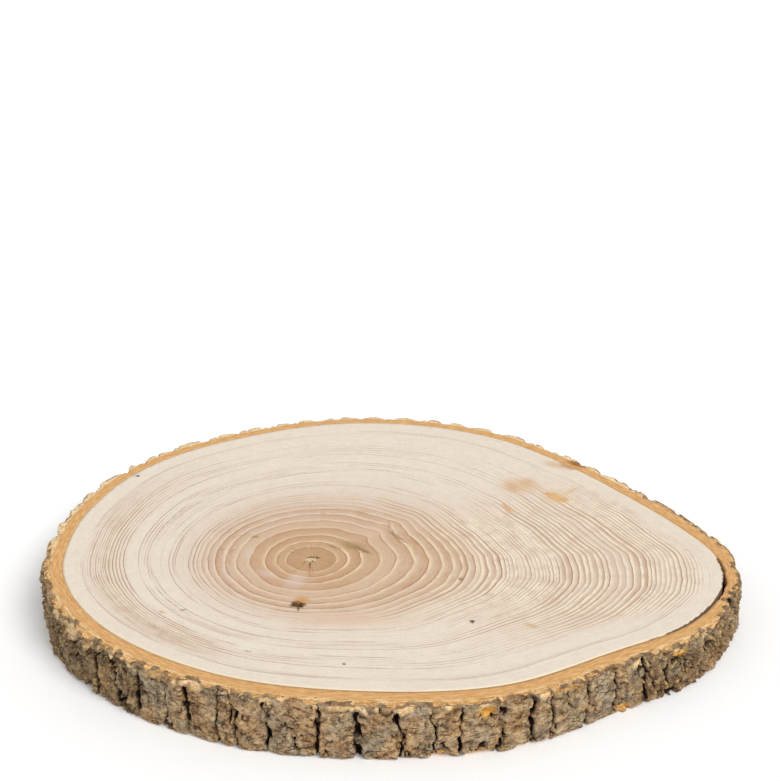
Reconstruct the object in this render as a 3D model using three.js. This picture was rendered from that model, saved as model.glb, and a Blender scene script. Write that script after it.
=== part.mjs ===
// A wood slice: a disc sawn across a trunk, with the bark still on it. Its two saw cuts aren't quite
// parallel, so it gets thinner towards +X.
// Two pieces meet at the cambium, the layer where bark comes away from wood as a slice dries:
// the wood disc, and the ring of bark around it, whose plates are parted by upright fissures.
// Millimetres, +Z up. The origin is the middle of the underside's bounding box, and +X is the long way.
import * as THREE from "three";

// Driving dimensions.
const THICKNESS = 26; // between the two saw cuts, at the origin
const TAPER = 0.02; // how much the upper cut falls for each millimetre towards +X
const BARK = 10; // from the cambium to the crest of a bark plate, but for the pointed end
const SEAM = 0.3; // gap between wood and bark all the way round
const FISSURE_DEPTH = 4.5; // from the crest of a plate to the floor of the fissure beside it
const FISSURE_HALF_WIDTH = 0.9;
const TIP = 838; // arc length along the cambium of the middle of the pointed end, where the bark is thinner
const TIP_REACH = 45; // how far to each side it is thinner
const TIP_THINNING = 3.4;
const SHOULDER_DROP = 1.6; // how far a plate's edge lies below its crest
const SHOULDER_REACH = 0.3; // share of a plate's width over which it drops to each edge

// The cambium, counter-clockwise from the pointed end at +X. The trunk grew out to one side,
// so the slice is broad at -X and drawn out at +X.
const CAMBIUM = [
  [148, 2], [123, 42], [98, 75], [63, 108], [16, 127], [-34, 128], [-79, 112], [-115, 89],
  [-138, 62], [-150, 33], [-155.5, 3], [-151, -41], [-122, -85], [-69, -118], [-10, -129],
  [48, -125], [97, -101], [133, -80], [155, -50], [158, -24],
];
const WOOD_POINTS = 180; // corners of the wood's outline

// Bark plates. Those along the front are set one by one, as arc lengths along the cambium
// from its first point. The rest of the way round is filled with plates of about one width.
const FRONT_START = 470;
const FRONT_PLATES = [
  21, 24, 12, 12, 13, 13, 11, 14, 6, 14, 20, 16, 16, 14, 10, 15, 13, 8, 17, 15, 16, 10, 23, 13, 14, 17,
];
const BACK_PLATE = 17;
const BACK_VARIATION = 0.34; // share by which a back plate's width differs from the last
const GOLDEN = (Math.sqrt(5) - 1) / 2; // steps that never repeat, for the back plates' widths

const WOOD_COLOUR = 0xe6d7c3;
const BARK_COLOUR = 0x7d6a54;

// The cambium as one smooth closed curve, measured finely enough for even steps along it.
const cambium = new THREE.CatmullRomCurve3(
  CAMBIUM.map(([x, y]) => new THREE.Vector3(x, y, 0)),
  true,
);
cambium.arcLengthDivisions = 2000;
const girth = cambium.getLength();

// The point that lies `out` outside the cambium, at arc length `along`.
function pointOutside(along, out) {
  const share = THREE.MathUtils.euclideanModulo(along / girth, 1);
  const at = cambium.getPointAt(share);
  const tangent = cambium.getTangentAt(share);
  return new THREE.Vector2(at.x + tangent.y * out, at.y - tangent.x * out);
}

function evenOutline(out, count) {
  return Array.from({ length: count }, (_, i) => pointOutside((i / count) * girth, out));
}

// Arc lengths of the fissures, from FRONT_START once round.
function fissurePlaces() {
  const places = [FRONT_START];
  for (const width of FRONT_PLATES) places.push(places.at(-1) + width);
  const end = FRONT_START + girth;
  const left = end - places.at(-1);
  const count = Math.round(left / BACK_PLATE);
  const widths = Array.from({ length: count }, (_, i) => 1 + BACK_VARIATION * (2 * ((i * GOLDEN) % 1) - 1));
  const total = widths.reduce((sum, width) => sum + width, 0);
  for (const width of widths) places.push(places.at(-1) + (width / total) * left);
  places.pop(); // the last one is the first again
  return places;
}

// From the cambium to the crest of a plate at arc length `along`.
function barkThickness(along) {
  const away = Math.abs(THREE.MathUtils.euclideanModulo(along - TIP + girth / 2, girth) - girth / 2);
  return BARK - TIP_THINNING * (1 - THREE.MathUtils.smoothstep(away, 0, TIP_REACH));
}

// One plate's outline from the floor of its first fissure up to, but not including, the next floor.
function plateOutline(start, end) {
  const width = end - start;
  const reach = SHOULDER_REACH * width;
  const crest = barkThickness(start + width / 2);
  return [
    [start, crest - FISSURE_DEPTH],
    [start + FISSURE_HALF_WIDTH, crest - SHOULDER_DROP],
    [start + reach, crest - SHOULDER_DROP / 4],
    [start + width / 2, crest],
    [end - reach, crest - SHOULDER_DROP / 4],
    [end - FISSURE_HALF_WIDTH, crest - SHOULDER_DROP],
  ].map(([along, out]) => pointOutside(along, out));
}

function barkOutline() {
  const places = fissurePlaces();
  return places.flatMap((start, i) => plateOutline(start, places[i + 1] ?? places[0] + girth));
}

const outerOutline = barkOutline();
const middle = new THREE.Box2().setFromPoints(outerOutline).getCenter(new THREE.Vector2());

// An upright prism from the underside to the sloping upper cut.
function prism(name, outline, hole, colour) {
  const shape = new THREE.Shape(outline);
  if (hole) shape.holes.push(new THREE.Path(hole));
  const geometry = new THREE.ExtrudeGeometry(shape, { depth: THICKNESS, bevelEnabled: false });
  const corners = geometry.getAttribute("position");
  for (let i = 0; i < corners.count; i++) {
    if (corners.getZ(i) > 0) corners.setZ(i, THICKNESS - TAPER * (corners.getX(i) - middle.x));
  }
  geometry.computeVertexNormals();
  const material = new THREE.MeshStandardMaterial({ color: colour, roughness: 0.8, metalness: 0 });
  const mesh = new THREE.Mesh(geometry, material);
  mesh.name = name;
  return mesh;
}

const slice = new THREE.Group();
slice.add(
  prism("wood_disc", evenOutline(0, WOOD_POINTS), null, WOOD_COLOUR),
  prism("bark_ring", outerOutline, evenOutline(SEAM, WOOD_POINTS), BARK_COLOUR),
);
slice.position.set(-middle.x, -middle.y, 0);

export default slice;
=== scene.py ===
import bpy
import numpy as np
from mathutils.geometry import delaunay_2d_cdt
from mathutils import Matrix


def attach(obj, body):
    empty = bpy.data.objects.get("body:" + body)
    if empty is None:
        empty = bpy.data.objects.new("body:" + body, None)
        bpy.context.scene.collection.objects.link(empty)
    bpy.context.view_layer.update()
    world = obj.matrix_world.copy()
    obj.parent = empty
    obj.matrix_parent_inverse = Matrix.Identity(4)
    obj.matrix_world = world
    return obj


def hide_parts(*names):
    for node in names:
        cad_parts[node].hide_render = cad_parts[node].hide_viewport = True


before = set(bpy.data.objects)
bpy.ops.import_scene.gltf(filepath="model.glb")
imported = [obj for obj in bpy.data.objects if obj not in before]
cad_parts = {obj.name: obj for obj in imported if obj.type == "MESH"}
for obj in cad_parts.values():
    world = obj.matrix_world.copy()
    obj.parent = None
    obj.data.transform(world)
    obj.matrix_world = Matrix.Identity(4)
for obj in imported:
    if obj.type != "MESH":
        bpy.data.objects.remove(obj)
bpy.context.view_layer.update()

MM = 0.001

# The wood, seen from above. The trunk grew faster towards +X, so its pith lies off centre.
PITH = np.array([-37.0, -25.6])
KNOT = np.array([-40.9, -64.4])  # the stub of a dead twig
HEALED_TWIG = np.radians(40)  # the direction from the pith in which a twig was grown over
GROWTH = [  # rings laid down, and their width at the start and the end of that time, towards +X
    (1, 12.2, 12.2), (2, 5.4, 6.8), (4, 9.0, 7.4), (3, 5.8, 4.2), (6, 3.3, 2.9), (15, 1.9, 1.6),
    (13, 3.0, 3.6), (16, 2.2, 1.7), (2, 2.5, 3.0),
]
SET_RINGS = 10  # rings after this one differ from year to year
YEARLY = 0.3  # by up to this share of their width
ROUND_UNTIL = 1.9  # rings go from round at the pith to the trunk's outline, sooner if this is higher
FULLER = (-38, 44, 6.0)  # rings bulge here before they take the trunk's outline: degrees, reach, bulge
RING_CORNERS = [  # degrees, reach, bulge as a share of the way out
    (-26, 11, 0.012), (-10, 8, 0.012), (2, 7, 0.012), (16, 9, 0.012), (31, 9, 0.010),
]
WOOD_HOLES = [  # cracks at the pith, then the knot's: middle, radians, half length, half width, depth
    (PITH + [2.0, 1.9], -0.25, 2.4, 0.75, 3.0),
    (PITH + [-1.1, 1.6], 0.4, 1.2, 0.4, 1.5),
    (PITH + [-0.2, -2.8], 1.45, 2.2, 0.35, 1.2),
    (KNOT + [-1.0, -0.9], -0.1, 2.1, 0.8, 1.8),
    (KNOT + [0.9, -1.8], -0.5, 1.7, 0.8, 1.8),
    (KNOT + [0.6, 0.2], 0.6, 1.4, 1.2, 0.9),
]

# The bark. Places along it are arc lengths of the cambium, counter-clockwise from the +X side. The front
# runs from about 480 to 850.
CLOSED_GAP = 0.03  # between wood and bark where they still hold together
SEAM_OPENS = [(852, 26, 1.3), (814, 30, 0.7), (778, 24, 0.35)]  # bark come loose: middle, half length, gap
WANDER = 1.6  # how far a fissure strays to each side
WANDER_HEIGHT = 8.0  # height over which it does
LEAN = 2.6  # how far a fissure leans to a side between the cuts, at most
PLATE_LIFT = 0.5  # how much higher or lower than the rest a plate lies
SHOULDER = 0.2  # how far a plate's surface sinks beside a fissure
RAISED = 0.35  # how far the plates' mean surface lies outside the frame's
HIGHEST = 2.0  # the most that a lump stands out of it
DEEPER = 0.3  # how far the deepest fissures reach below the frame's
TAN_BAND = 5.4  # width of the soft inner bark on the cut
LOBED = (250, 215)  # the stretch of rounded plates, at the back: middle and half length
CROWN, LOBE_CROWN = 0.2, 3.2  # how much higher a plate's middle is than its sides, elsewhere and there
CHIPS = [  # broken bark: middle's arc length and height, half length, half height, share of orange
    (514, 22.5, 7.5, 3.6, 0.15), (528, 24.5, 5.0, 1.6, 0.2), (701, 21.8, 3.4, 2.6, 1.0),
    (792, 22.0, 4.6, 2.8, 0.9), (735, 24.4, 6.0, 1.2, 0.8), (763, 2.4, 4.6, 2.6, 0.8),
    (683, 1.0, 4.4, 2.4, 0.9), (698, 0.2, 6.0, 2.0, 0.7), (718, 0.0, 6.0, 1.8, 0.6),
    (566, 24.6, 4.0, 1.4, 0.4), (584, 24.9, 6.0, 1.4, 0.1), (646, 25.0, 8.0, 1.0, 0.2),
    (36, 22.0, 6.0, 2.4, 0.5), (126, 2.0, 7.0, 2.4, 0.6), (221, 23.5, 5.0, 2.4, 0.8),
    (306, 1.5, 5.0, 2.2, 0.7), (368, 24.5, 6.0, 2.2, 0.3), (416, 2.0, 6.0, 2.6, 0.5),
]
WIDE = (533, 558, 652, 707, 836)  # fissures that are wide and full of rubble
WIDE_HALF = 1.1  # half their width
CRUMBLED = [(506, 62), (811, 52)]  # crumbled stretches: middle and half length

NOISE_ROWS = 64  # cells across before noise and scales repeat

# The camera stands in front of the slice and looks down at it.
CAMERA_PLACE = (7.2, -564.0, 346.3)
CAMERA_DOWN = 23.36  # degrees


def colour(red, green, blue):
    """An sRGB colour of 0 to 255 as the linear RGBA that a node takes."""
    share = np.array([red, green, blue]) / 255
    linear = np.where(share < 0.04045, share / 12.92, ((share + 0.055) / 1.055) ** 2.4)
    return (*linear, 1.0)


def smoothstep(low, high, x):
    """0 at low, 1 at high, with a smooth rise between."""
    share = np.clip((x - low) / (high - low), 0, 1)
    return share * share * (3 - 2 * share)


def noise(u, v, seed, repeat=NOISE_ROWS):
    """Smooth gradient noise of cell size 1, about -1 to 1, repeating every `repeat` cells of u."""
    angles = np.random.default_rng(seed).uniform(0, 2 * np.pi, (repeat, NOISE_ROWS))
    column, row = np.floor(u).astype(int), np.floor(v).astype(int)
    across, up = u - column, v - row

    def corner(i, j):
        angle = angles[(column + i) % repeat, (row + j) % NOISE_ROWS]
        return np.cos(angle) * (across - i) + np.sin(angle) * (up - j)

    a, b = smoothstep(0, 1, across), smoothstep(0, 1, up)
    near = corner(0, 0) * (1 - a) + corner(1, 0) * a
    far = corner(0, 1) * (1 - a) + corner(1, 1) * a
    return 1.6 * (near * (1 - b) + far * b)


# ---- outlines from the frame


def upper_corners(node):
    """(x, y, z) of a CAD node's corners on the upper cut, each once."""
    corners = np.array([v.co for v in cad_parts[node].data.vertices]) / MM
    upper = corners[corners[:, 2] > 1]  # the others are on the underside, at 0
    return np.unique(np.round(upper, 4), axis=0)


def in_order(points):
    """The points of a closed outline, counter-clockwise from the +X side."""
    x, y = (points - points.mean(0)).T
    return points[np.argsort(np.arctan2(y, x) % (2 * np.pi))]


def smooth_closed(points, count):
    """`count` points round the smooth closed curve through evenly spaced points."""
    spectrum = np.fft.fftshift(np.fft.fft(points @ [1, 1j]))
    padded = np.pad(spectrum, (count - len(points)) // 2)
    wave = np.fft.ifft(np.fft.ifftshift(padded)) * count / len(points)
    return np.stack([wave.real, wave.imag], 1)


wood_corners = upper_corners("wood_disc")
SLOPE, THICKNESS = np.polyfit(wood_corners[:, 0], wood_corners[:, 2], 1)  # of the upper cut, along X
CAMBIUM_POINTS = 4000
cambium = smooth_closed(in_order(wood_corners[:, :2]), CAMBIUM_POINTS)
cambium_steps = np.linalg.norm(np.roll(cambium, -1, 0) - cambium, axis=1)
cambium_along = np.cumsum(cambium_steps) - cambium_steps
girth = cambium_steps.sum()
tangent = np.roll(cambium, -1, 0) - np.roll(cambium, 1, 0)
outward = tangent[:, ::-1] * [1, -1] / np.linalg.norm(tangent, axis=1)[:, None]


def on_rim(along, values):
    """What `values`, given at each point of the cambium, are at these arc lengths."""
    return np.interp(along, cambium_along, values, period=girth)


def beside(along, out):
    """x and y at an arc length along the cambium and a distance outside it."""
    x = on_rim(along, cambium[:, 0]) + on_rim(along, outward[:, 0]) * out
    y = on_rim(along, cambium[:, 1]) + on_rim(along, outward[:, 1]) * out
    return x, y


def upper_cut(x):
    """Height of the upper cut."""
    return THICKNESS + SLOPE * x


def rim_noise(along, height, length, tall, seed, octaves=1):
    """Noise on the bark, unbroken round the rim, whose lumps are `length` along it and `tall` high."""
    cells = round(girth / length)
    total = 0
    for octave in range(octaves):
        finer = 2**octave
        share = along / girth * cells * finer
        total = total + noise(share, height / tall * finer, seed + octave, cells * finer) / finer
    return total


def rim_distance(along, middle):
    """How far an arc length is from another, the short way round."""
    return np.abs((along - middle + girth / 2) % girth - girth / 2)


def bark_from_frame():
    """Arc lengths of the fissures and of the plates' crests, and the bark's thickness at each."""
    corners = upper_corners("bark_ring")[:, :2]
    distances = np.linalg.norm(corners[:, None] - cambium[None], axis=2)
    out, along = distances.min(1), cambium_along[distances.argmin(1)]
    outside = np.flatnonzero(out > 1)  # the others are on the seam
    outside = outside[np.argsort(along[outside])]
    out, along = out[outside], along[outside]
    before, after = np.roll(out, 1), np.roll(out, -1)
    lowest, highest = (out < before) & (out < after), (out > before) & (out > after)
    return along[lowest], out[lowest], along[highest], out[highest]


fissures, floors, crests_at, crests = bark_from_frame()
plate_widths = np.diff(np.append(fissures, fissures[0] + girth))


def bark_floor(along):
    return np.interp(along, fissures, floors, period=girth)


def bark_crest(along):
    return np.interp(along, crests_at, crests, period=girth)


def seam_gap(along):
    """How far the bark has come away from the wood."""
    gap = np.full_like(along, CLOSED_GAP)
    for middle, reach, width in SEAM_OPENS:
        torn = 0.75 + 0.5 * rim_noise(along, 0, 7, 1, 11, 2)
        gap += width * torn * smoothstep(reach, reach * 0.3, rim_distance(along, middle))
    return np.maximum(gap, CLOSED_GAP)


# ---- the meshes


def make_piece(name, points, faces, attributes, plan, node, material):
    """A mesh piece of the object, with a value per point for each attribute and its own plan for baking."""
    mesh = bpy.data.meshes.new(name)
    mesh.from_pydata(points * MM, [], faces)
    mesh.shade_smooth()
    for label, values in attributes.items():
        layer = mesh.attributes.new(label, "FLOAT", "POINT")
        layer.data.foreach_set("value", np.asarray(values, np.float32).ravel())
    layer = mesh.uv_layers.new(name="OFBake")
    layer.data.foreach_set("uv", np.asarray(plan, np.float32).ravel())
    mesh.materials.append(material)
    piece = bpy.data.objects.new(name, mesh)
    bpy.context.scene.collection.objects.link(piece)
    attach(piece, "root")
    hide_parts(node)
    return piece


# ---- the wood


pith_angles = np.arctan2(cambium[:, 1] - PITH[1], cambium[:, 0] - PITH[0])
pith_radii = np.hypot(*(cambium - PITH).T)
by_angle = np.argsort(pith_angles)
LONGEST = np.interp(0, pith_angles[by_angle], pith_radii[by_angle])


def radius_to_cambium(angle):
    return np.interp(angle, pith_angles[by_angle], pith_radii[by_angle], period=2 * np.pi)


def ring_radius(angle, share):
    """Distance from the pith of the ring at this share of the way out: round inside, trunk-shaped outside."""
    shaped = 1 - np.maximum(1 - share, 0) ** ROUND_UNTIL
    return share * ((1 - shaped) * LONGEST + shaped * radius_to_cambium(angle))


def share_at(x, y):
    """The share of the way out at a point, found by halving, and its angle round the pith."""
    angle, radius = np.arctan2(y - PITH[1], x - PITH[0]), np.hypot(x - PITH[0], y - PITH[1])
    low, high = np.zeros_like(radius), np.full_like(radius, 1.0)
    for _ in range(24):
        middle = (low + high) / 2
        inside = ring_radius(angle, middle) < radius
        low, high = np.where(inside, middle, low), np.where(inside, high, middle)
    return (low + high) / 2, angle


def ring_table():
    """The distance towards +X at which each ring ends, scaled to end at the cambium."""
    widths = np.concatenate([np.linspace(start, end, count) for count, start, end in GROWTH])
    years = np.random.default_rng(13).uniform(-YEARLY, YEARLY, len(widths))
    widths = widths * np.where(np.arange(len(widths)) < SET_RINGS, 1, 1 + years)
    ends = np.cumsum(widths)
    return np.append(0, ends * LONGEST / ends[-1])


ring_ends = ring_table()


def facing(angle, towards, reach):
    """1 in a direction from the pith, falling to 0 at `reach` radians to each side."""
    away = np.abs((angle - towards + np.pi) % (2 * np.pi) - np.pi)
    return smoothstep(reach, reach * 0.35, away)


def ring_waver(x, y, angle, share):
    """How far the rings lie inside their even place, in millimetres."""
    turn = angle / (2 * np.pi)
    broad = noise(turn * 18, share * 7, 3, 18) * (0.25 + 1.1 * share)
    small = 0.3 * noise(x / 7.5 + 30, y / 7.5 + 30, 4) * smoothstep(0.02, 0.1, share)
    # A grown-over twig dents the rings, and towards +X they have corners.
    twig = np.exp(-(((angle - HEALED_TWIG) / 0.13) ** 2)) * smoothstep(0.1, 0.22, share)
    dent = -3.0 * twig * smoothstep(0.62, 0.3, share)
    bulge = np.zeros_like(share)
    for towards, reach, size in RING_CORNERS:
        away = np.abs(angle - np.radians(towards)) / np.radians(reach)
        bulge += size * np.clip(1 - away, 0, 1) * share * LONGEST
    towards, reach, size = FULLER
    fuller = size * facing(angle, np.radians(towards), np.radians(reach)) * smoothstep(0.2, 0.5, share)
    fuller = fuller * smoothstep(1.0, 0.72, share)
    return dent + broad + small - bulge * smoothstep(0.3, 0.5, share) - fuller


def wood_attributes(x, y):
    """What the wood's material needs to know of each point."""
    share, angle = share_at(x, y)
    radius = np.hypot(x - PITH[0], y - PITH[1])
    distance = share * LONGEST + ring_waver(x, y, angle, share) * smoothstep(0.02, 0.12, share)
    age = np.interp(distance, ring_ends, np.arange(len(ring_ends)))
    squeeze = ring_radius(angle, share + 0.01) - ring_radius(angle, share)
    here = np.clip(age.astype(int), 0, len(ring_ends) - 2)
    width = np.diff(ring_ends)[here] * squeeze / (0.01 * LONGEST)

    # The heart is long and low. Beyond it the rings show on the right, and in a band on the left.
    left = facing(angle, np.pi + 0.2, 1.4)
    flattened = share * (1 + 0.4 * np.sin(angle) ** 2 + 0.2 * left)
    heart = smoothstep(0.56, 0.33, flattened)
    last = 1.0 - 0.12 * smoothstep(0.1, 0.5, -angle) - 0.1 * smoothstep(0.4, 0.9, angle)
    before_last = smoothstep(last, last - 0.09, share)
    right = facing(angle, 0.0, 0.8) * before_last
    wide_right = facing(angle, -0.08, 1.1) * before_last
    upper_left = facing(angle, 2.5, 0.7)
    band = left * smoothstep(0.68, 0.75, share) * smoothstep(0.92, 0.86, share)
    late = np.max([heart, right, 0.35 * wide_right, 0.75 * band], 0)
    lines = np.max([0.7 * smoothstep(0.6, 0.45, flattened), 0.62 * wide_right, 1.3 * band], 0)
    lines = np.maximum(lines, 0.5 * upper_left * smoothstep(0.97, 0.9, share))
    bright = np.max([0.85 * heart, 1.3 * right, 0.7 * wide_right, 0.5 * band], 0)
    rounder = share * (1 + 0.15 * np.sin(angle) ** 2 + 0.15 * left)
    warmth = 0.55 * smoothstep(0.66, 0.25, rounder) + 0.4 * smoothstep(0.25, 0.05, share)
    warmth = np.maximum(warmth, 0.24 * right * smoothstep(0.97, 0.78, share))
    warmth = np.maximum(warmth, 0.1 * band)
    return {
        "age": age,
        "depth": distance,
        "ring_width": width,
        "late": late,
        "lines": lines,
        "bright": bright,
        "warmth": warmth,
        "edge": np.clip((1 - share) * radius / np.maximum(share, 0.01), 0, 30),
        "yellow": np.maximum(facing(angle, -0.35, 1.9), smoothstep(0.3, 0.14, share)),
    }


def wood_points(spacing, fine_spacing):
    """Points spread evenly over the cut inside the cambium, closer round the pith and the knot."""
    x, y = np.meshgrid(
        np.arange(cambium[:, 0].min(), cambium[:, 0].max(), spacing),
        np.arange(cambium[:, 1].min(), cambium[:, 1].max(), spacing * 0.87),
    )
    x = x + (np.arange(len(x)) % 2)[:, None] * spacing / 2
    points = np.stack([x.ravel(), y.ravel()], 1)
    if fine_spacing:
        for middle, reach in ((PITH, 6.5), (KNOT, 6.0)):
            points = points[np.linalg.norm(points - middle, axis=1) > reach]
            offsets = np.arange(-reach, reach, fine_spacing)
            fine = np.stack(np.meshgrid(offsets, offsets), -1).reshape(-1, 2)
            points = np.append(points, middle + fine[np.linalg.norm(fine, axis=1) < reach], 0)
    share, _ = share_at(points[:, 0], points[:, 1])
    reach = np.hypot(*(points - PITH).T)
    return points[(1 - share) * reach / np.maximum(share, 0.01) > spacing * 0.8]


def wood_dents(x, y):
    """How deep the upper cut is dented at a point: the crack at the pith, the knot and its hole."""
    depth = np.zeros_like(x)
    for middle, direction, half_length, half_width, deep in WOOD_HOLES:
        along = (x - middle[0]) * np.cos(direction) + (y - middle[1]) * np.sin(direction)
        across = (y - middle[1]) * np.cos(direction) - (x - middle[0]) * np.sin(direction)
        ragged = 0.35 * noise(x * 0.9 + 60, y * 0.9 + 60, 8)
        away = np.hypot(along / half_length, across / half_width) + ragged
        depth = np.maximum(depth, deep * smoothstep(1.15, 0.55, away))
    return depth


EDGE_STEP = 1.0  # along the wood's edge
SIDE_ROWS = 5  # of points on the wood's side
UPPER_STEP, FINE_STEP, LOWER_STEP = 1.25, 0.3, 2.2  # on the upper cut, round its holes, on the lower cut
WOOD_SIDE_LOW, WOOD_SIDE_TALL = 0.86, 0.1  # the strip of the baked picture that the side takes


def make_wood(material):
    count = round(girth / EDGE_STEP)
    rim = np.arange(count) / count * girth
    gap = seam_gap(rim)
    edge = np.stack(beside(rim, -0.5 * (gap - CLOSED_GAP)), 1)

    def sawn_face(inner):
        """The flat points of one cut, the edge's first, and its triangles."""
        flat = np.concatenate([edge, inner])
        bounds = [(i, (i + 1) % count) for i in range(count)]
        triangles = delaunay_2d_cdt(flat.tolist(), bounds, [], 1, 1e-5)[2]
        return flat, np.array(triangles)

    upper, upper_faces = sawn_face(wood_points(UPPER_STEP, FINE_STEP))
    upper = np.column_stack([upper, upper_cut(upper[:, 0]) - wood_dents(*upper.T)])
    lower, lower_faces = sawn_face(wood_points(LOWER_STEP, None))
    lower = np.column_stack([lower, np.zeros(len(lower))])
    # The side joins the two edges, from the lower up.
    shares = np.linspace(0, 1, SIDE_ROWS)[1:-1]
    between = np.concatenate([np.column_stack([edge, upper_cut(edge[:, 0]) * share]) for share in shares])
    points = np.concatenate([lower, between, upper])
    starts = [0] + [len(lower) + count * k for k in range(SIDE_ROWS - 1)]
    rows = [start + np.arange(count) for start in starts]
    sides = np.concatenate([
        np.column_stack([low, np.roll(low, -1), np.roll(high, -1), high]) for low, high in zip(rows, rows[1:])
    ])
    upper_faces = upper_faces + len(lower) + len(between)
    faces = lower_faces[:, ::-1].tolist() + sides.tolist() + upper_faces.tolist()

    # Both cuts share one plan, because the grain runs straight through, and the side lies above it.
    flat_plan = (points[:, :2] - cambium.min(0)) / np.ptp(cambium, 0).max() * 0.98 + 0.005
    corner = np.concatenate([lower_faces[:, ::-1].ravel(), sides.ravel(), upper_faces.ravel()])
    plan = flat_plan[corner]
    along = np.tile(np.arange(count), len(rows) - 1)
    side_start = lower_faces.size
    side_u = np.column_stack([along, along + 1, along + 1, along]) / count
    level = np.repeat(np.arange(len(rows) - 1), count)
    side_v = np.column_stack([level, level, level + 1, level + 1]) / (len(rows) - 1)
    side_plan = np.stack([side_u * 0.98 + 0.01, side_v * WOOD_SIDE_TALL + WOOD_SIDE_LOW], -1)
    plan[side_start:side_start + sides.size] = side_plan.reshape(-1, 2)
    attributes = wood_attributes(points[:, 0], points[:, 1])
    # How far the bark has come away at the edge, used only for the painted shade in that gap.
    attributes["painted_gap_shade"] = np.zeros(len(points))
    for row in rows:
        attributes["painted_gap_shade"][row] = smoothstep(0.1, 0.6, gap)
    return make_piece("wood", points, faces, attributes, plan, "wood_disc", material)


# ---- the bark


def spread(start, end, count, spacing):
    """`count` places from start up to end, as close together as spacing(place) asks."""
    fine = np.linspace(start, end, 20000)
    crowd = np.cumsum(1 / spacing(fine))
    return np.interp(np.arange(count) / count * crowd[-1], crowd, fine)


COLUMNS = 1400
BARK_ROWS = 54  # on the side
RIM_ROWS = 9  # on the upper cut
UNDER_ROWS = 5  # on the lower cut
EVENED_COLUMNS = 5  # to each side, over which the bark's upper edge is evened out


def column_spacing(along):
    """Columns stand twice as close beside the fissures as on the plates."""
    nearest = np.min([rim_distance(along, place) for place in fissures], 0)
    return np.where(nearest < 1.8, 0.38, 0.75)


def beside_plate(values, plate):
    """A value per fissure for the fissures to the left and to the right of these plates."""
    return values[:, plate], values[:, (plate + 1) % len(fissures)]


def fissure_shapes(height):
    """How far each fissure strays at each height, its half width, and how open it is."""
    count = len(fissures)
    number = np.arange(count) + 0.5
    rng = np.random.default_rng(21)
    room = 0.3 * np.minimum(plate_widths, np.roll(plate_widths, 1))
    stray = LEAN * rng.uniform(-1, 1, count) * (height / THICKNESS - 0.5)
    stray = stray + WANDER * noise(number, height / WANDER_HEIGHT, 22, count)
    stray += 0.8 * noise(number, height / 3.0, 23, count) + 0.4 * noise(number, height / 1.3, 26, count)
    half_width = rng.uniform(0.35, 0.9, count)
    for place in WIDE:
        half_width[np.argmin(rim_distance(fissures, place))] = WIDE_HALF
    half_width = half_width * (1 + 0.7 * noise(number, height / 3.2, 24, count))
    opening = 0.45 + 0.55 * smoothstep(-0.7, 0.1, noise(number, height / 5, 25, count))
    opening = opening * rng.uniform(0.8, 1.05, count)
    # Some hardly reach the upper cut.
    at_cut = rng.choice([0.1, 0.3, 0.6], count)
    closing = smoothstep(THICKNESS - 5, THICKNESS - 0.5, height)
    return np.clip(stray, -room, room), half_width, opening * (1 - closing * (1 - at_cut))


def scales(along, height, length, tall, seed):
    """Bark scales about `length` long and `tall` high: each point's scale, its place on it, and the distance
    to the scale's edge."""
    columns = round(girth / length)
    jitter = np.random.default_rng(seed).uniform(-0.45, 0.45, (2, columns, NOISE_ROWS))
    u, w = along / girth * columns, height / tall
    nearest, second = np.full(u.shape, 99.0), np.full(u.shape, 99.0)
    number, east, north = np.zeros(u.shape, int), np.zeros(u.shape), np.zeros(u.shape)
    for i in (-1, 0, 1):
        for j in (-1, 0, 1):
            column, row = np.floor(u).astype(int) + i, np.floor(w).astype(int) + j
            shift = jitter[:, column % columns, row % NOISE_ROWS]
            to_east, to_north = u - column - 0.5 - shift[0], w - row - 0.5 - shift[1]
            away = np.hypot(to_east * length, to_north * tall)
            closer = away < nearest
            second = np.where(closer, nearest, np.minimum(second, away))
            nearest = np.where(closer, away, nearest)
            number = np.where(closer, column % columns * NOISE_ROWS + row % NOISE_ROWS, number)
            east, north = np.where(closer, to_east, east), np.where(closer, to_north, north)
    return number, east, north, (second - nearest) / 2


def scaly(along, height, length, tall, seed, lift, tilt):
    """A relief of scales that lie at different heights and slants, and what scales() says of it."""
    u = along + 0.28 * length * rim_noise(along, height, length * 0.8, tall, seed + 1, 2)
    w = height + 0.28 * tall * rim_noise(along, height, length * 0.8, tall, seed + 3, 2)
    number, east, north, edge = scales(u, w, length, tall, seed)
    rng = np.random.default_rng(seed + 5)
    lifts, slants, rises = rng.uniform(-1, 1, (3, number.max() + 1))
    relief = lift * lifts[number] + tilt * (east * slants[number] + north * (rises[number] - 0.5))
    return relief, number, edge


def line(height, half_width):
    """1 where `height` crosses 0, falling to 0 at `half_width`."""
    return smoothstep(half_width, half_width * 0.25, np.abs(height))


def grooves(half_widths, openings, distances):
    """How open the nearer fissure is at each point, from those to the left and to the right."""
    left, right = (
        opening * smoothstep(1.3 * half_width, 0.8 * half_width, distance)
        for half_width, opening, distance in zip(half_widths, openings, distances)
    )
    return np.maximum(left, right)


def crumbling(v, rough):
    """1 where the bark is crumbled, 0 where its plates are whole."""
    crumble = np.zeros_like(v)
    for middle, reach in CRUMBLED:
        crumble = np.maximum(crumble, smoothstep(reach, reach * 0.6, rim_distance(v, middle)))
    return np.clip(crumble * (0.8 + 0.6 * rough(14, 10, 31)), 0, 1)


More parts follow.
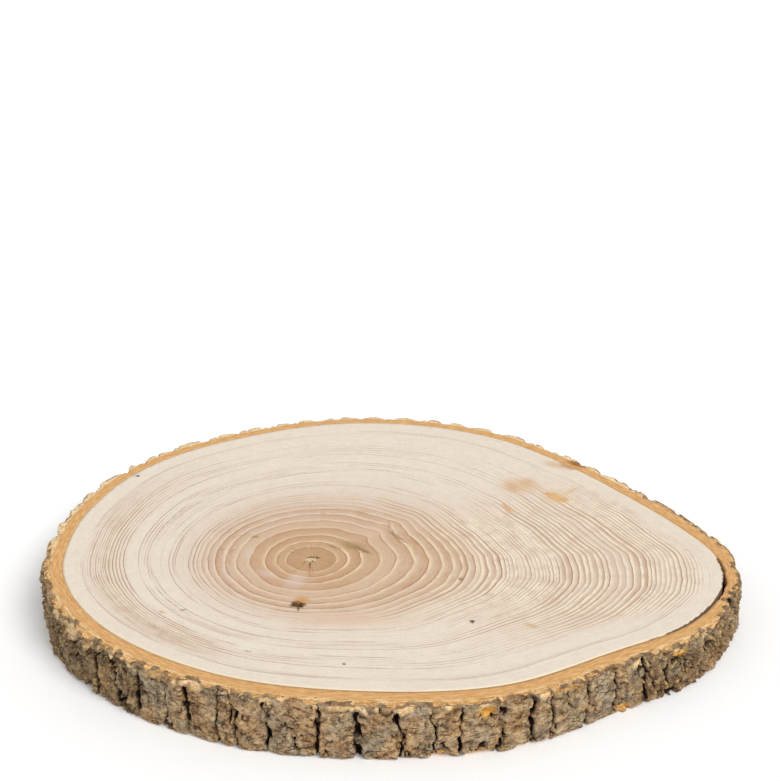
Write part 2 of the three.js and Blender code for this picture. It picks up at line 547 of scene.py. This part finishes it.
def cracked(surface, rough, crumble, edge, flake_edge):
    """The surface with cracks between some scales and side fissures that fork through the plates, and how
    much of a thin crack or a crease is at each point."""
    some = smoothstep(0.0, 0.35, rough(8, 6, 141))
    crack = some * smoothstep(0.45, 0.08, edge)
    thin = smoothstep(0.05, 0.4, rough(6, 5, 142)) * smoothstep(0.3, 0.05, flake_edge)
    fork = line(rough(8, 20, 143, 3), 0.09 + 0.08 * crumble)
    fork = fork * smoothstep(0.0, 0.35, rough(11, 9, 147) + 0.3 * crumble)
    crease = line(rough(10, 2.4, 151, 3), 0.08)
    crease *= smoothstep(0.0, 0.4, rough(8, 4.5, 153))
    surface = surface - (0.9 + 1.1 * crumble) * crack - (0.4 + crumble) * thin - 2.6 * fork - 0.7 * crease
    return surface, thin, crease


def chipped(surface, plate_top, along, z, rough):
    """The surface with chips broken out of it, where fresh bark shows in them, and its share of orange."""
    fresh, orange = np.zeros_like(z), np.zeros_like(z)
    for middle, centre, half_length, half_height, share in CHIPS:
        away = np.hypot(rim_distance(along, middle) / half_length, (z - centre) / half_height)
        inside = smoothstep(1.1, 0.85, away + 0.35 * rough(3, 3, 155, 2))
        depth = 2.0 + 0.6 * rough(2.5, 1.8, 157)
        surface = np.where(inside > 0, np.minimum(surface, plate_top - depth * inside), surface)
        orange = np.where(inside > fresh, share, orange)
        fresh = np.maximum(fresh, inside)
    return surface, fresh, orange


def bark_side(v, height):
    """The bark's side as arrays of (rows, columns): arc length, thickness and what the material needs."""
    plate = (np.searchsorted(fissures, v, side="right") - 1) % len(fissures)
    width = plate_widths[plate]
    across = ((v - fissures[plate]) % girth) / width
    z = np.repeat(height[:, None], len(v), 1)
    stray, half_width, opening = fissure_shapes(height[:, None])
    left_stray, right_stray = beside_plate(stray, plate)
    along = v + left_stray * (1 - across) + right_stray * across

    def rough(length, tall, seed, octaves=1):
        return rim_noise(along, z, length, tall, seed, octaves)

    crest = bark_crest(v)
    deep = crest - bark_floor(v) + DEEPER
    crumble = crumbling(v, rough)

    # Plates are crowned, sink beside their fissures and carry scales of three sizes.
    lobed = smoothstep(1.0, 0.85, rim_distance(v, LOBED[0]) / LOBED[1])
    crown = CROWN + (LOBE_CROWN - CROWN) * lobed
    to_left, to_right = across * width, (1 - across) * width
    sunk = SHOULDER * (np.exp(-to_left / 1.2) + np.exp(-to_right / 1.2)) + crown * (2 * across - 1) ** 2
    lifts, tilts = np.random.default_rng(99).uniform(-1, 1, (2, len(fissures)))
    lifted = PLATE_LIFT * (lifts[plate] + tilts[plate] * (2 * across - 1))
    plates, number, edge = scaly(along, z, 13, 9, 101, 0.25, 0.35)
    flakes, _, flake_edge = scaly(along, z, 6, 2.6, 111, 0.2, 0.4)
    crumbs, _, _ = scaly(along, z, 2.2, 1.5, 121, 0.2, 0.3)
    lumps = rough(3.4, 2.6, 131, 3)
    plate_top = crest + RAISED - sunk + lifted + plates + flakes * (0.5 + 2.4 * crumble)
    plate_top += crumbs * (0.25 + 0.7 * crumble) + 0.24 * lumps * (0.2 + 2.6 * crumble)
    plate_top += 0.2 * rough(18, 14, 137)
    surface, thin, crease = cracked(plate_top, rough, crumble, edge, flake_edge)

    groove = grooves(beside_plate(half_width, plate), beside_plate(opening, plate), (to_left, to_right))
    rubble = 0.45 * np.clip(rough(2.0, 2.2, 144, 2), -1, 1)
    surface = surface - deep * groove * (0.75 + rubble)
    surface = np.clip(surface, crest - deep, crest + HIGHEST)

    # Chips show fresh bark, and so does the broken upper edge in places.
    surface, fresh, orange = chipped(surface, plate_top, along, z, rough)
    torn = smoothstep(0.15, 0.4, rough(6, 9, 158, 2)) * smoothstep(3.2, 1.0, THICKNESS - z)
    torn = np.maximum(torn, 0.9 * lobed * smoothstep(4.0, 2.0, THICKNESS - z))
    orange = np.where(torn > fresh, 0.3 * (1 - lobed), orange)
    fresh = np.maximum(fresh, torn) * smoothstep(0.5, 0.1, groove * (1 - 0.6 * lobed))
    tones = np.random.default_rng(159).uniform(-1, 1, number.max() + 1)
    return {
        "along": along,
        "out": surface,
        # How deep a point lies below its plate's top, for the painted shade in the fissures.
        "recess_shade": np.clip((plate_top - surface) / deep, 0, 1) * (1 - fresh),
        "fresh": fresh,
        "orange": orange,
        "tone": tones[number],
        # The scales' relief, which the colour uses for painted shade in the hollows and a painted highlight
        # on the raised parts.
        "low": flakes + crumbs + 0.24 * lumps - 0.5 * thin - 0.5 * crease,
        "crumble": crumble,
        "pale": lobed,
    }


def softened(values, reach):
    """Values round the rim, each averaged with those up to `reach` columns away."""
    weights = np.hanning(2 * reach + 3)[1:-1]
    shifts = range(-reach, reach + 1)
    return sum(weight * np.roll(values, shift) for weight, shift in zip(weights, shifts)) / weights.sum()


def bark_edges(v, crumble):
    """Heights of the side's lower and upper edge, which are broken a little inside the saw's planes."""

    def edge_noise(length, seed, octaves=1):
        return rim_noise(v, np.zeros((1, COLUMNS)), length, 1, seed, octaves)[0]

    drop = 0.35 + 1.2 * smoothstep(0.1, 0.5, edge_noise(6, 61, 2)) + 0.3 * np.abs(edge_noise(1.6, 64))
    drop += 2.2 * crumble * smoothstep(0.0, 0.45, edge_noise(5, 65, 2))
    rise = np.clip(0.25 + 0.4 * edge_noise(4, 67, 2), 0.03, 1.2)
    outer_x, _ = beside(v, bark_crest(v))
    return rise, upper_cut(outer_x) - drop


def rounded_off(out, from_top, from_foot):
    """The side evened out along the rim near the upper cut, and rounded off at both edges."""
    evened = np.array([softened(row, EVENED_COLUMNS) for row in out])
    out = out + (evened - out) * 0.95 * np.exp(-from_top / 1.4)
    return out - 0.6 * np.exp(-from_top / 0.5) - 0.6 * np.exp(-from_foot / 0.5)


def make_bark(material):
    v = spread(0, girth, COLUMNS, column_spacing)
    share = np.linspace(0, 1, BARK_ROWS)
    share = share - 0.07 * np.sin(2 * np.pi * share)  # closer rows near the cuts
    side = bark_side(v, share * THICKNESS)
    zeros = np.zeros(COLUMNS)
    z_low, z_high = bark_edges(v, side["crumble"][-1])
    side["z"] = z_low + share[:, None] * (z_high - z_low)
    side["out"] = rounded_off(side["out"], z_high - side["z"], side["z"] - z_low)
    gap = seam_gap(v)

    def cut_row(part, edge_row, upper):
        """A row of the sawn face, at this part of the way from the cambium to the side's edge row."""
        out = gap + (side["out"][edge_row] - gap) * part
        along = v + (side["along"][edge_row] - v) * part
        plane = upper_cut(beside(along, out)[0]) if upper else zeros
        bevel = smoothstep(TAN_BAND, side["out"][edge_row] + 0.01, out)
        grain = 0.07 * np.abs(rim_noise(v, out, 3, 1.1, 71, 2)) * smoothstep(0, 0.3, part)
        fall = (side["z"][edge_row] - plane) * bevel + (-grain if upper else grain)
        to_edge = side["out"][edge_row] - out
        return {"along": along, "out": out, "z": plane + fall, "to_edge": to_edge, "cut": 1}

    shares = 1 - (1 - np.arange(RIM_ROWS) / RIM_ROWS) ** 1.5  # closer rows near the outer edge
    upper = [cut_row(part, -1, True) for part in shares[::-1]]
    lower = [cut_row(part, 0, False) for part in np.arange(UNDER_ROWS) / UNDER_ROWS]
    wall_top = upper_cut(beside(v, gap)[0])
    inner = [{"along": v, "out": gap, "z": wall_top * level, "cut": 1} for level in (2 / 3, 1 / 3)]

    def stacked(key):
        """One value per point, row by row: lower cut, side, upper cut, inner wall. 0 where none is given."""
        below = [row.get(key, 0) + zeros for row in lower]
        above = [row.get(key, 0) + zeros for row in upper + inner]
        return np.concatenate([below, side.get(key, 0 * side["z"]), above])

    needed = ("cut", "along", "out", "to_edge", "recess_shade", "fresh", "orange", "tone", "low", "crumble")
    attributes = {key: stacked(key) for key in needed}
    z = stacked("z")
    rows = len(z)
    attributes["pale"] = np.tile(side["pale"], (rows, 1))
    x, y = beside(attributes["along"], attributes["out"])
    points = np.stack([x.ravel(), y.ravel(), z.ravel()], 1)
    row, column = np.meshgrid(np.arange(rows), np.arange(COLUMNS), indexing="ij")
    next_row, next_column = (row + 1) % rows, (column + 1) % COLUMNS
    corners = np.stack([
        row * COLUMNS + column, row * COLUMNS + next_column,
        next_row * COLUMNS + next_column, next_row * COLUMNS + column,
    ], -1).reshape(-1, 4)
    plan = bark_plan(v, row, column, rows)
    return make_piece("bark", points, corners.tolist(), attributes, plan, "bark_ring", material)


STRIPS = 5  # of the bark in its baked picture


def bark_plan(v, row, column, rows):
    """Where each face's corners lie in the baked picture: the ring cut into strips, one above the other."""
    per_strip = COLUMNS // STRIPS
    strip = column // per_strip
    # Rows on the cuts stand farther apart than those on the side, and the inner wall is hidden.
    room = np.full(rows, 1.0)
    room[:UNDER_ROWS] = 1.3
    room[UNDER_ROWS + BARK_ROWS - 1:] = 1.6
    room[-3:] = 0.4
    level = np.append(0, np.cumsum(room)) / room.sum()
    place = np.append(v, girth)
    start = place[strip * per_strip]
    length = girth / STRIPS * 1.35
    left, right = (place[column] - start) / length, (place[column + 1] - start) / length
    low = (strip + 0.02 + 0.96 * level[row]) / STRIPS
    high = (strip + 0.02 + 0.96 * level[row + 1]) / STRIPS
    corners = np.stack([left, low, right, low, right, high, left, high], -1)
    return corners.reshape(-1, 2)


# ---- the materials


class Nodes:
    """The nodes of one material. Each method adds a node and returns its output."""

    def __init__(self, name):
        self.material = bpy.data.materials.new(name)
        self.material.use_nodes = True
        self.tree = self.material.node_tree
        self.shader = self.tree.nodes["Principled BSDF"]
        coordinates = self.tree.nodes.new("ShaderNodeTexCoord")
        self.place = coordinates.outputs["Object"]

    def add(self, kind, inputs, output=0, **settings):
        node = self.tree.nodes.new("ShaderNode" + kind)
        for key, value in settings.items():
            setattr(node, key, value)
        for key, value in inputs.items():
            self.feed(node.inputs[key], value)
        return node.outputs[output]

    def feed(self, socket, value):
        if isinstance(value, bpy.types.NodeSocket):
            self.tree.links.new(value, socket)
        else:
            socket.default_value = value

    def attribute(self, name):
        return self.add("Attribute", {}, "Fac", attribute_name=name)

    def math(self, operation, a, b=0.0, clamp=False):
        return self.add("Math", {0: a, 1: b}, operation=operation, use_clamp=clamp)

    def times(self, a, b):
        return self.math("MULTIPLY", a, b)

    def plus(self, a, b):
        return self.math("ADD", a, b)

    def between(self, value, low, high, start=0.0, end=1.0):
        """start where the value is low, end where it is high, smoothly."""
        inputs = {"Value": value, "From Min": low, "From Max": high, "To Min": start, "To Max": end}
        return self.add("MapRange", inputs, interpolation_type="SMOOTHSTEP")

    def mix(self, share, a, b):
        """Colour a where the share is 0, b where it is 1."""
        inputs = {"Factor": share, 6: a, 7: b}
        return self.add("Mix", inputs, 2, data_type="RGBA", clamp_factor=True)

    def over(self, base, share, red, green, blue):
        """The base colour with another laid over it by this share."""
        return self.mix(share, base, colour(red, green, blue))

    def vector(self, operation, a, b=(0, 0, 0)):
        return self.add("VectorMath", {0: a, 1: b}, operation=operation)

    def scaled(self, vector, factor):
        return self.add("VectorMath", {0: vector, "Scale": factor}, operation="SCALE")

    def upright(self, z):
        return self.add("CombineXYZ", {2: z})

    def stretched(self, x, y, z):
        """The place in the row frame, scaled along each axis."""
        return self.vector("MULTIPLY", self.place, (x, y, z))

    def noise(self, size, detail=3.0, rough=0.5, place=None, output="Fac"):
        """Noise of 0 to 1 whose lumps are `size` millimetres. Its "Color" is three such noises."""
        inputs = {"Vector": place or self.place, "Scale": 1 / (size * MM), "Detail": detail}
        return self.add("TexNoise", {**inputs, "Roughness": rough}, output)

    def swing(self, amount, size, detail=3.0, rough=0.5):
        """Noise about 0, in all `amount` from its lowest to its highest."""
        return self.times(self.plus(self.noise(size, detail, rough), -0.5), amount)

    def cells(self, size, feature="F1", place=None):
        """Distances in a pattern of cells `size` millimetres wide."""
        inputs = {"Vector": place or self.place, "Scale": 1 / (size * MM)}
        return self.add("TexVoronoi", inputs, "Distance", feature=feature)

    def bump(self, height, depth):
        """The surface raised by `height` times `depth` millimetres."""
        return self.add("Bump", {"Height": height, "Distance": depth * MM, "Strength": 1.0})

    def finish(self, inputs):
        """The finished material, with these inputs of its shader."""
        for key, value in {"Specular IOR Level": 0.3, **inputs}.items():
            self.feed(self.shader.inputs[key], value)
        return self.material


WOOD_SPOTS = [  # middle, half length, half width, direction in degrees, softness, colour and strength
    ((-43, -45.5), 11, 8, 70, 0.95, (222, 202, 192), 0.6),
    ((-18, -77), 34, 8, 0, 0.95, (226, 190, 162), 0.6),
    ((-67.6, -19.9), 9, 4, 85, 0.95, (224, 206, 198), 0.45),
    ((-57, -39), 9, 5, -35, 0.95, (224, 202, 192), 0.5),
    ((-17.6, -12.8), 9, 5.2, -30, 0.8, (170, 140, 94), 0.85),
    ((-12.6, -17), 8.5, 1.9, -42, 0.7, (144, 110, 68), 0.75),
    ((-26.7, -14.2), 5.6, 0.5, -33, 0.6, (128, 98, 62), 0.7),
    ((4, -3.5), 11.5, 1.8, -53, 0.75, (150, 112, 70), 0.65),
    ((-13.3, 21.4), 6, 2.6, -8, 0.9, (204, 168, 116), 0.6),
    ((-33.3, 19.8), 2.2, 0.6, -4, 0.6, (140, 106, 76), 0.7),
    ((-80.7, -16.3), 2.6, 1, 70, 0.8, (190, 136, 96), 0.6),
    ((-75.9, -18.1), 3.4, 1, 72, 0.8, (196, 144, 106), 0.6),
    ((86.5, 38.5), 4.6, 5, 15, 0.6, (218, 160, 78), 0.95),
    ((90, 35), 4.6, 4.4, -25, 0.6, (216, 158, 78), 0.9),
    ((83.5, 41), 2.2, 2.2, 0, 0.7, (210, 150, 72), 0.8),
    ((95.5, 43.5), 10, 2, 45, 0.8, (224, 182, 124), 0.6),
    ((87.5, 37), 11, 12, 0, 0.95, (228, 196, 150), 0.6),
    ((69.4, 50), 15, 13, 0, 0.85, (222, 186, 146), 0.75),
    ((65.4, 48), 5, 9, 20, 0.8, (212, 168, 122), 0.5),
    ((74.5, 54.5), 6, 7, -20, 0.8, (214, 172, 128), 0.5),
    ((60.9, 26), 1.5, 6.5, 24, 0.6, (216, 156, 96), 0.85),
    ((61.9, 24), 3.4, 8, 24, 0.9, (226, 190, 150), 0.5),
    ((92, 74.5), 13, 6, -30, 0.9, (216, 178, 134), 0.7),
    ((98.5, 72.5), 8, 3, -40, 0.7, (190, 140, 86), 0.7),
    ((0.3, 6.3), 1, 3.6, 8, 0.6, (206, 146, 110), 0.85),
    ((1.8, 8), 0.5, 4.5, 5, 0.7, (240, 214, 178), 0.8),
    ((15.8, 2), 1, 2.2, 20, 0.7, (232, 170, 156), 0.6),
    ((-65.6, -4.2), 2.8, 2.2, 0, 0.7, (176, 136, 86), 0.85),
    ((-72.6, -3), 8, 1.2, 8, 0.8, (196, 158, 112), 0.6),
    ((33.9, -43.4), 1.6, 2.2, -30, 0.5, (150, 116, 84), 0.7),
    ((62.9, -82), 4.5, 1.6, -30, 0.6, (212, 176, 124), 0.7),
    ((-135.1, 61.5), 1.5, 1.2, 0, 0.3, (60, 48, 38), 1),
    ((37, -78.9), 1.5, 1.5, 0, 0.4, (104, 84, 66), 0.95),
    ((-91.6, -69.5), 1.8, 0.8, 20, 0.5, (150, 128, 100), 0.8),
    ((-100.6, -71), 2.2, 1.1, -30, 0.6, (216, 156, 104), 0.75),
    ((-18.6, -110.5), 1.1, 0.9, 0, 0.4, (112, 92, 72), 0.8),
    ((-59.6, -101), 2.2, 0.9, -8, 0.5, (136, 120, 98), 0.85),
    ((-60.6, -98.5), 9, 4.5, -25, 0.9, (240, 230, 214), 0.7),
]
KNOT_SPOTS = [  # the same, with the middle given from the knot
    ((1.6, 2.4), 5.6, 4.8, 20, 0.75, (212, 156, 92), 0.9),
    ((0.2, -0.9), 4.4, 3.4, -15, 0.5, (96, 64, 28), 1),
    ((0.6, -4.6), 0.7, 1.8, 0, 0.6, (96, 70, 42), 0.8),
]
PITH_SPOTS = [  # and from the pith
    ((0, -0.2), 3.2, 2.4, 0, 0.7, (230, 212, 170), 0.7),
    ((2, 1.9), 3, 1.2, -14, 0.45, (78, 58, 34), 1),
    ((-1.2, 1.7), 1.8, 0.6, 25, 0.5, (96, 72, 44), 0.85),
    ((1, -1.8), 2.6, 0.5, -60, 0.5, (110, 84, 52), 0.8),
    ((-0.3, -5), 0.5, 5, 3, 0.5, (120, 92, 58), 0.8),
    ((-3, -3), 3, 0.5, 48, 0.6, (120, 92, 58), 0.7),
    ((-0.1, -13), 0.45, 6.5, -1, 0.7, (160, 128, 92), 0.6),
]

BARK_SPOTS = [  # the same as on the wood
    ((104, 76), 9, 4.5, -40, 0.7, (146, 96, 44), 0.9),
]


def around(middle, marks):
    return [((middle[0] + x, middle[1] + y), *others) for (x, y), *others in marks]


def spots(n, base, marks):
    """The base colour with marks on it, their edges ragged."""
    ragged = n.vector("SUBTRACT", n.noise(1 / 0.42, 3, 0.65, output="Color"), (0.5, 0.5, 0.5))
    shift = n.vector("MULTIPLY", ragged, (3.2 * MM, 3.2 * MM, 0))
    place = n.vector("ADD", n.place, shift)
    for (x, y), half_length, half_width, direction, softness, shade, strength in marks:
        inputs = {
            "Vector": place,
            "Location": (x * MM, y * MM, 0),
            "Rotation": (0, 0, np.radians(direction)),
            "Scale": (half_length * MM, half_width * MM, 1),
        }
        own = n.add("Mapping", inputs, vector_type="TEXTURE")
        away = n.add("VectorMath", {0: own}, "Value", operation="LENGTH")
        base = n.over(base, n.between(away, 1.0, 1 - softness, 0.0, strength), *shade)
    return base


def ring_colours(n, base, direction):
    """The base colour with the growth rings laid over it, and how dark the late wood is."""
    drift = n.swing(0.35, 16, 2)
    waver = n.swing(0.12, 3.5, 2)
    age = n.plus(n.plus(n.attribute("age"), drift), waver)
    phase = n.math("FRACT", age)
    number = n.math("FLOOR", age)
    year = n.add("TexWhiteNoise", {"W": number}, "Value", noise_dimensions="1D")
    other_year = n.add("TexWhiteNoise", {"W": n.plus(number, 0.5)}, "Value", noise_dimensions="1D")
    width = n.attribute("ring_width")
    from_start = n.times(phase, width)
    to_end = n.times(n.math("SUBTRACT", 1.0, phase), width)

    # Within a year the wood grows streaky and darker, up to a thin dark line in some years, which fades in
    # and out. The next year's starts pale.
    outwards = n.upright(n.times(n.attribute("depth"), MM))
    streaks = n.noise(0.85, 4, 0.65, place=n.vector("ADD", n.scaled(direction, 7 * MM), outwards))
    streaks = n.plus(n.between(streaks, 0.3, 0.7), -0.5)
    broad = n.times(n.between(phase, 0.05, 0.55), 0.5)
    ending = n.times(n.math("POWER", phase, 4.0), 0.6)
    late = n.times(n.plus(n.plus(broad, ending), n.times(streaks, 0.55)), n.attribute("late"))
    late = n.times(late, n.between(year, 0.0, 1.0, 0.4, 1.1))
    late = n.times(late, n.between(n.noise(22, 2), 0.3, 0.7, 0.65, 1.0))
    base = n.over(base, n.times(late, 0.9), 190, 142, 104)
    base = n.over(base, n.between(streaks, 0.0, 0.5, 0.0, 0.1), 196, 160, 128)
    apart = n.upright(n.times(number, 17 * MM))
    fading = n.noise(26, 3, place=n.vector("ADD", n.scaled(direction, 60 * MM), apart))
    fading = n.between(fading, 0.4, 0.6)
    lined = n.between(n.plus(n.attribute("lines"), n.times(other_year, 0.8)), 0.6, 1.3)
    strong = n.times(lined, n.between(fading, 0, 1, 0.25, 1))
    faint = n.times(n.times(n.between(other_year, 0.4, 0.85), fading), 0.7)
    thin = n.between(to_end, 0.85, 0.2)
    base = n.over(base, n.times(n.times(thin, n.math("MAXIMUM", strong, faint)), 0.8), 168, 120, 84)
    bright = n.times(n.between(from_start, 2.1, 0.5), n.attribute("bright"))
    bright = n.times(bright, n.between(year, 0.0, 1.0, 0.6, 1.0))
    bright = n.times(bright, n.between(n.noise(8, 3, 0.6), 0.36, 0.6, 0.3, 1.0))
    start = n.mix(n.between(n.attribute("warmth"), 0.2, 0.55), colour(249, 237, 216), colour(240, 214, 178))
    return n.mix(n.times(bright, 0.92), base, start), late


def wood_material():
    n = Nodes("sawn_wood")
    # The grain runs straight through the slice, so only the place on the cut matters.
    n.place = n.stretched(1, 1, 0)
    tint = n.math("ADD", n.attribute("warmth"), n.swing(0.26, 34, 3, 0.55), clamp=True)
    yellow = n.plus(n.attribute("yellow"), n.swing(1.2, 20, 2))
    heart = n.mix(n.between(yellow, 0.1, 1.0), colour(210, 178, 153), colour(207, 168, 125))
    base = n.mix(tint, colour(239, 227, 211), heart)
    direction = n.vector("NORMALIZE", n.vector("SUBTRACT", n.place, (*PITH * MM, 0)))
    base, late = ring_colours(n, base, direction)

    # Rays spread from the pith and show best near it, and fine pores speckle the cut.
    slowly = n.upright(n.times(n.attribute("age"), 0.7 * MM))
    rays = n.noise(0.9, 3, 0.6, place=n.vector("ADD", n.scaled(direction, 50 * MM), slowly))
    near_pith = n.between(n.attribute("age"), 2.4, 0.4, 0.06, 0.75)
    base = n.over(base, n.times(n.between(rays, 0.48, 0.62), near_pith), 156, 120, 80)
    mottle = n.noise(5.5, 3, 0.6)
    base = n.over(base, n.between(mottle, 0.35, 0.75, 0.0, 0.12), 206, 172, 138)
    fine = n.noise(0.7, 3, 0.6)
    base = n.over(base, n.between(fine, 0.4, 0.8, 0.0, 0.14), 178, 146, 114)
    edge = n.attribute("edge")
    base = n.over(base, n.between(edge, 2.2, 0.6, 0.0, 0.6), 246, 230, 198)
    base = n.over(base, n.between(edge, 0.4, 0.1, 0.0, 0.35), 190, 146, 98)
    base = spots(n, base, WOOD_SPOTS + around(KNOT, KNOT_SPOTS) + around(PITH, PITH_SPOTS))
    # Painted shade: the edge is darkened where the bark has come loose, in place of the shade in the gap
    # there.
    base = n.over(base, n.between(n.attribute("painted_gap_shade"), 0.3, 0.8, 0.0, 0.9), 74, 44, 20)

    grain = n.plus(n.times(late, 0.5), n.times(n.noise(0.6, 3, 0.6), 0.5))
    roughness = n.between(fine, 0.2, 0.8, 0.5, 0.66)
    return n.finish({"Base Color": base, "Roughness": roughness, "Normal": n.bump(grain, 0.12)})


def weathered_bark(n, crumble, hairy):
    """The colour of the plates, and where their hairline cracks are."""
    # Brown, greyer from scale to scale and speckled, with painted shade in their hollows and a painted
    # highlight on their raised edges.
    broad, patchy, fine = n.noise(10, 4, 0.6), n.noise(3.5, 4, 0.6), n.noise(0.9, 5, 0.8)
    shade = n.between(n.plus(n.times(patchy, 0.5), n.times(fine, 0.5)), 0.36, 0.64)
    brown = n.mix(shade, colour(104, 70, 36), colour(202, 166, 121))
    grey = n.mix(shade, colour(98, 84, 66), colour(188, 170, 142))
    tone = n.times(n.attribute("tone"), 0.3)
    greyness = n.math("ADD", n.between(broad, 0.4, 0.62, 0.05, 0.75), tone, clamp=True)
    base = n.mix(greyness, brown, grey)
    low = n.plus(n.attribute("low"), n.swing(1.1, 3.0, 5, 0.65))
    # Painted shade where the scales' relief is low, and a painted highlight where it is high.
    base = n.over(base, n.between(low, -0.15, -0.7, 0.0, 0.75), 50, 27, 8)
    base = n.over(base, n.between(low, 0.1, 0.7, 0.0, 0.6), 226, 196, 152)
    base = n.over(base, n.between(hairy, 0.43, 0.32, 0.0, 0.65), 52, 29, 10)
    crumbs = n.times(crumble, n.between(n.noise(2.2, 4, 0.75), 0.54, 0.62))
    base = n.over(base, n.times(crumble, 0.45), 62, 36, 12)
    base = n.over(base, n.times(crumbs, 0.7), 232, 198, 134)

    # Hairline cracks, long across the grain, show here and there.
    shift = n.scaled(n.noise(1 / 0.26, 2, output="Color"), 3.0 * MM)
    twisted = n.vector("ADD", n.stretched(1, 1, 2.4), shift)
    hairline = n.between(n.cells(8, feature="DISTANCE_TO_EDGE", place=twisted), 0.05, 0.014)
    hairline = n.times(hairline, n.between(n.noise(6, 3, 0.6), 0.48, 0.6))
    base = n.over(base, n.times(hairline, 0.75), 50, 31, 15)
    lichen = n.times(n.between(n.noise(1.3, 2, 0.5), 0.66, 0.71), n.between(broad, 0.48, 0.56))
    base = n.over(base, n.times(lichen, 0.8), 212, 182, 70)
    # Dark fissure floors: partly the bark's own darker colour, partly painted shade that deepens with the
    # depth below the plate.
    return n.over(base, n.between(n.attribute("recess_shade"), 0.15, 0.5), 36, 16, 4), hairline


def sawn_bark(n, patch, paler, weathered):
    """Smooth tan beside the wood, then a broken cream line, then browner, and weathered at the outer edge."""
    out, along = n.attribute("out"), n.attribute("along")
    round_rim = n.add("CombineXYZ", {0: n.times(along, 0.16 * MM), 1: n.times(out, MM)})
    streaks = n.noise(0.9, 4, 0.6, place=round_rim)
    tan = n.mix(n.between(streaks, 0.35, 0.7), colour(208, 154, 94), colour(234, 188, 130))
    mixed = n.plus(n.times(streaks, 0.6), n.times(patch, 0.4))
    outer = n.mix(n.between(mixed, 0.4, 0.62), colour(188, 134, 74), colour(236, 198, 142))
    outer = n.mix(n.attribute("pale"), outer, paler)
    wavy = n.plus(out, n.swing(2.8, 6, 3, 0.6))
    base = n.mix(n.between(wavy, TAN_BAND - 0.3, TAN_BAND + 0.9), tan, outer)
    from_line = n.math("ABSOLUTE", n.math("SUBTRACT", wavy, TAN_BAND + 0.6))
    cream = n.times(n.between(from_line, 0.8, 0.1), n.between(n.noise(8, 3), 0.42, 0.6))
    base = n.over(base, n.times(cream, 0.5), 250, 226, 178)
    blotch = n.times(n.between(n.noise(2.4, 3, 0.6), 0.6, 0.7, 0.0, 0.5), n.between(out, 2.5, 7.0, 0.2, 1.0))
    base = n.over(base, blotch, 158, 108, 58)
    base = n.over(base, n.between(n.noise(0.9, 2), 0.7, 0.76, 0.0, 0.75), 96, 64, 36)
    fringe = n.plus(n.times(n.between(n.noise(4.5, 2, 0.5), 0.38, 0.64), 2.6), 0.4)
    fringe = n.times(fringe, n.between(n.attribute("pale"), 0.0, 1.0, 1.0, 0.35))
    outermost = n.between(n.math("SUBTRACT", fringe, n.attribute("to_edge")), -0.2, 0.3, 0.0, 0.95)
    base = n.mix(outermost, base, n.mix(0.3, weathered, colour(84, 54, 26)))
    return spots(n, base, BARK_SPOTS)


def bark_material():
    n = Nodes("bark")
    crumble, cut = n.attribute("crumble"), n.attribute("cut")
    hairy = n.noise(0.9, 4, 0.7, place=n.stretched(1, 1, 2.2))
    weathered, hairline = weathered_bark(n, crumble, hairy)
    patch = n.noise(1.5, 4, 0.65)
    paler = n.mix(n.between(patch, 0.35, 0.62), colour(214, 168, 112), colour(250, 230, 190))
    rust = n.mix(n.between(n.noise(1.8, 3), 0.35, 0.65), colour(190, 124, 38), colour(236, 186, 92))
    broken = n.mix(n.attribute("orange"), paler, rust)
    base = n.mix(n.attribute("fresh"), weathered, broken)
    base = n.mix(cut, base, sawn_bark(n, patch, paler, weathered))

    grit = n.plus(n.times(n.noise(0.9, 4, 0.7), 0.7), n.times(hairy, 0.5))
    pits = n.between(n.cells(1.3), 0.0, 0.5)
    grit = n.times(n.plus(grit, n.times(pits, 0.3)), n.between(crumble, 0.0, 1.0, 0.55, 0.8))
    height = n.math("SUBTRACT", grit, n.times(hairline, 0.6))
    height = n.times(height, n.between(cut, 0.0, 1.0, 1.0, 0.25))
    return n.finish({"Base Color": base, "Roughness": 0.88, "Normal": n.bump(height, 0.55)})


# ---- floor, light and camera


def make_floor():
    half = 6.0  # metres
    corners = [(-half, -half, 0), (half, -half, 0), (half, half, 0), (-half, half, 0)]
    mesh = bpy.data.meshes.new("floor")
    mesh.from_pydata(corners, [], [(0, 1, 2, 3)])
    mesh.materials.append(Nodes("pale_floor").finish({
        "Base Color": colour(250, 250, 250),
        "Roughness": 0.9,
        "Specular IOR Level": 0.0,
        "Emission Color": colour(255, 255, 255),
        "Emission Strength": 0.08,
    }))
    floor = bpy.data.objects.new("floor", mesh)
    floor.location.z = -0.2 * MM  # just clear of the underside
    bpy.context.scene.collection.objects.link(floor)


def add_sun(name, strength, softness, tilt, turn):
    """A soft light from above, tilted from the vertical and turned round it, in degrees."""
    light = bpy.data.lights.new(name, "SUN")
    light.energy = strength
    light.angle = np.radians(softness)
    lamp = bpy.data.objects.new(name, light)
    lamp.rotation_euler = (np.radians(tilt), 0, np.radians(turn))
    bpy.context.scene.collection.objects.link(lamp)


def make_lights():
    world = bpy.data.worlds.new("studio")
    world.use_nodes = True
    background = world.node_tree.nodes["Background"]
    background.inputs["Color"].default_value = (1.0, 1.0, 1.0, 1.0)
    background.inputs["Strength"].default_value = 0.52
    bpy.context.scene.world = world
    add_sun("key", strength=1.95, softness=30, tilt=44, turn=44)
    add_sun("fill", strength=0.2, softness=60, tilt=50, turn=-50)


def make_camera():
    """A camera in front of the slice, held level with its upper cut."""
    roll = -np.arctan(SLOPE)
    data = bpy.data.cameras.new("camera")
    data.lens = 60
    data.sensor_width = 36
    data.sensor_fit = "HORIZONTAL"
    camera = bpy.data.objects.new("camera", data)
    camera.location = np.array(CAMERA_PLACE) * MM
    camera.rotation_euler = (np.radians(90 - CAMERA_DOWN), roll, 0)
    bpy.context.scene.collection.objects.link(camera)
    bpy.context.scene.camera = camera


make_camera()
make_floor()
make_lights()
bpy.context.scene.view_settings.view_transform = "Standard"
make_wood(wood_material())
make_bark(bark_material())
